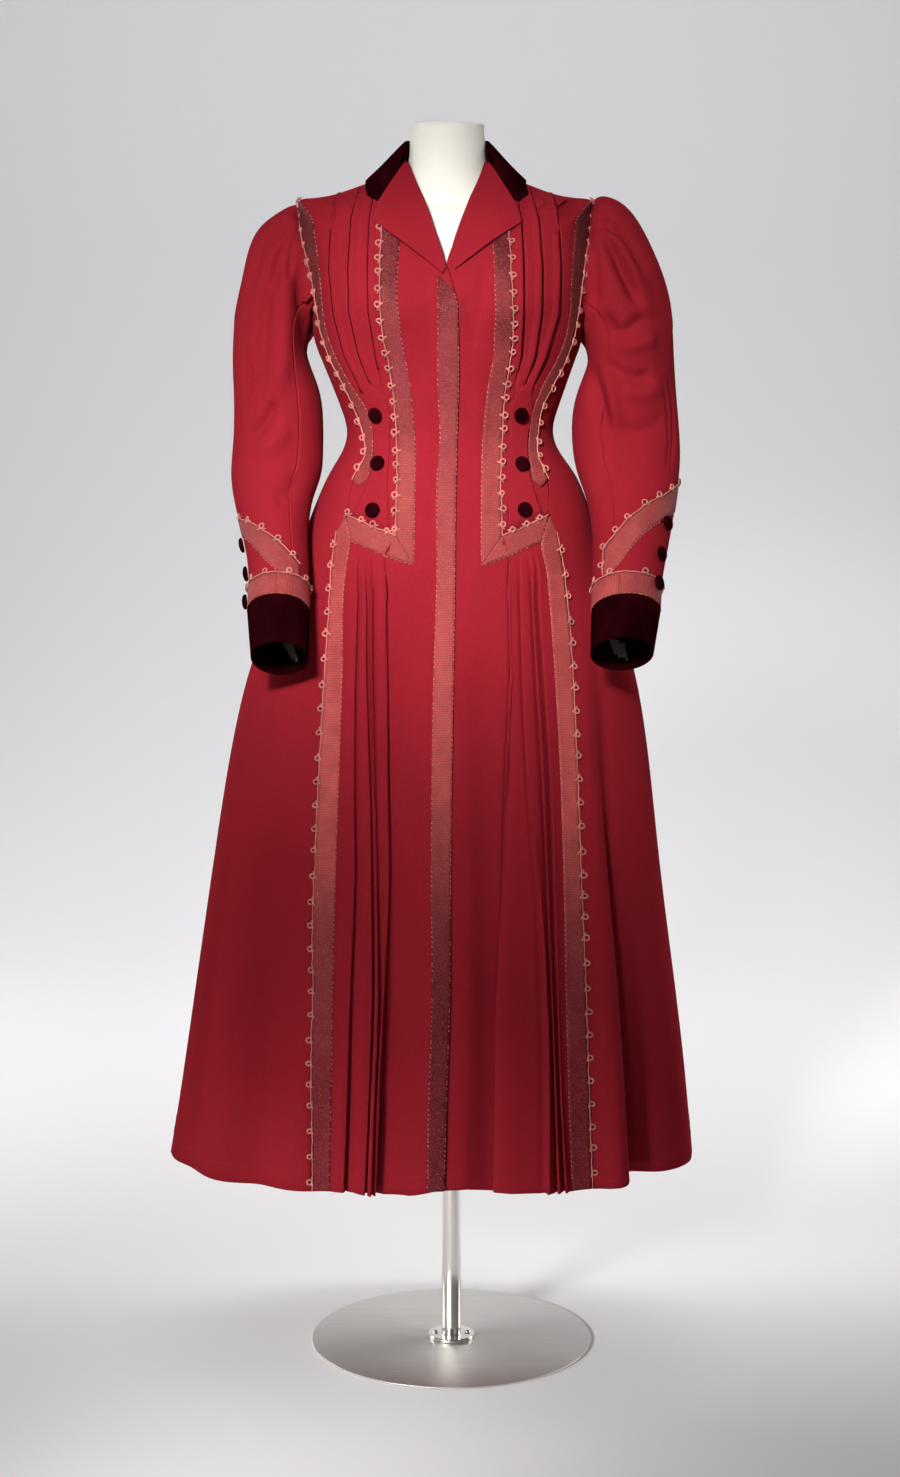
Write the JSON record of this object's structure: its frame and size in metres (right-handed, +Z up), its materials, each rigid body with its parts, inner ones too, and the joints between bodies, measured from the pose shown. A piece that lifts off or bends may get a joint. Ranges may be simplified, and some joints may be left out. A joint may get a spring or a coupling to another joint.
{
  "type": "evening coat on dress form",
  "caption": "Long fitted evening coat with gathered sleeves, tucked front, pleated skirt insert, ribbon trim and velvet collar, on a limbless form with a round steel stand.",
  "frame": {"origin": "centre of the round base's underside, on the pole's axis", "axes": "+Z up along the pole, -Y out of the coat's front, +X towards the wearer's left"},
  "size_m": [0.683, 0.5183, 1.571],
  "materials": {
    "broadcloth": "fulled wool with a soft nap, deep red",
    "ribbon": "ribbed silk ribbon, faded rose to burgundy",
    "velvet": "dark burgundy velvet",
    "lining": "pale plain-woven lining",
    "form_cover": "smooth ivory jersey",
    "brushed_steel": "brushed in straight lines",
    "polished_steel": "fine polished"
  },
  "bodies": {
    "root": {"armhole_ribbon_l": "ribbon", "armhole_ribbon_r": "ribbon", "back_l": "broadcloth", "back_r": "broadcloth", "base_flange": "polished_steel", "base_plate": "brushed_steel", "centre_ribbon": "ribbon", "collar": "velvet", "cuff_l": "velvet", "cuff_lining_l": "lining", "cuff_lining_r": "lining", "cuff_r": "velvet", "cuff_ribbon_l": "ribbon", "cuff_ribbon_r": "ribbon", "dress_form": "form_cover", "flange_screw_1": "polished_steel", "flange_screw_2": "polished_steel", "forearm_ribbon_l": "ribbon", "forearm_ribbon_r": "ribbon", "front_button_l1": "velvet", "front_button_l2": "velvet", "front_button_l3": "velvet", "front_button_r1": "velvet", "front_button_r2": "velvet", "front_button_r3": "velvet", "front_l": "broadcloth", "front_r": "broadcloth", "front_ribbon_l": "ribbon", "front_ribbon_r": "ribbon", "lapel_l": "broadcloth", "lapel_r": "broadcloth", "pleat_panel_l": "broadcloth", "pleat_panel_r": "broadcloth", "pole": "polished_steel", "side_back_l": "broadcloth", "side_back_r": "broadcloth", "side_front_l": "broadcloth", "side_front_r": "broadcloth", "skirt_ribbon_l": "ribbon", "skirt_ribbon_r": "ribbon", "sleeve_button_l1": "velvet", "sleeve_button_l2": "velvet", "sleeve_button_l3": "velvet", "sleeve_button_r1": "velvet", "sleeve_button_r2": "velvet", "sleeve_button_r3": "velvet", "sleeve_under_l": "broadcloth", "sleeve_under_r": "broadcloth", "sleeve_upper_l": "broadcloth", "sleeve_upper_r": "broadcloth", "tab_l": "broadcloth", "tab_r": "broadcloth", "yoke_l": "broadcloth", "yoke_r": "broadcloth"}
  },
  "joints": []
}
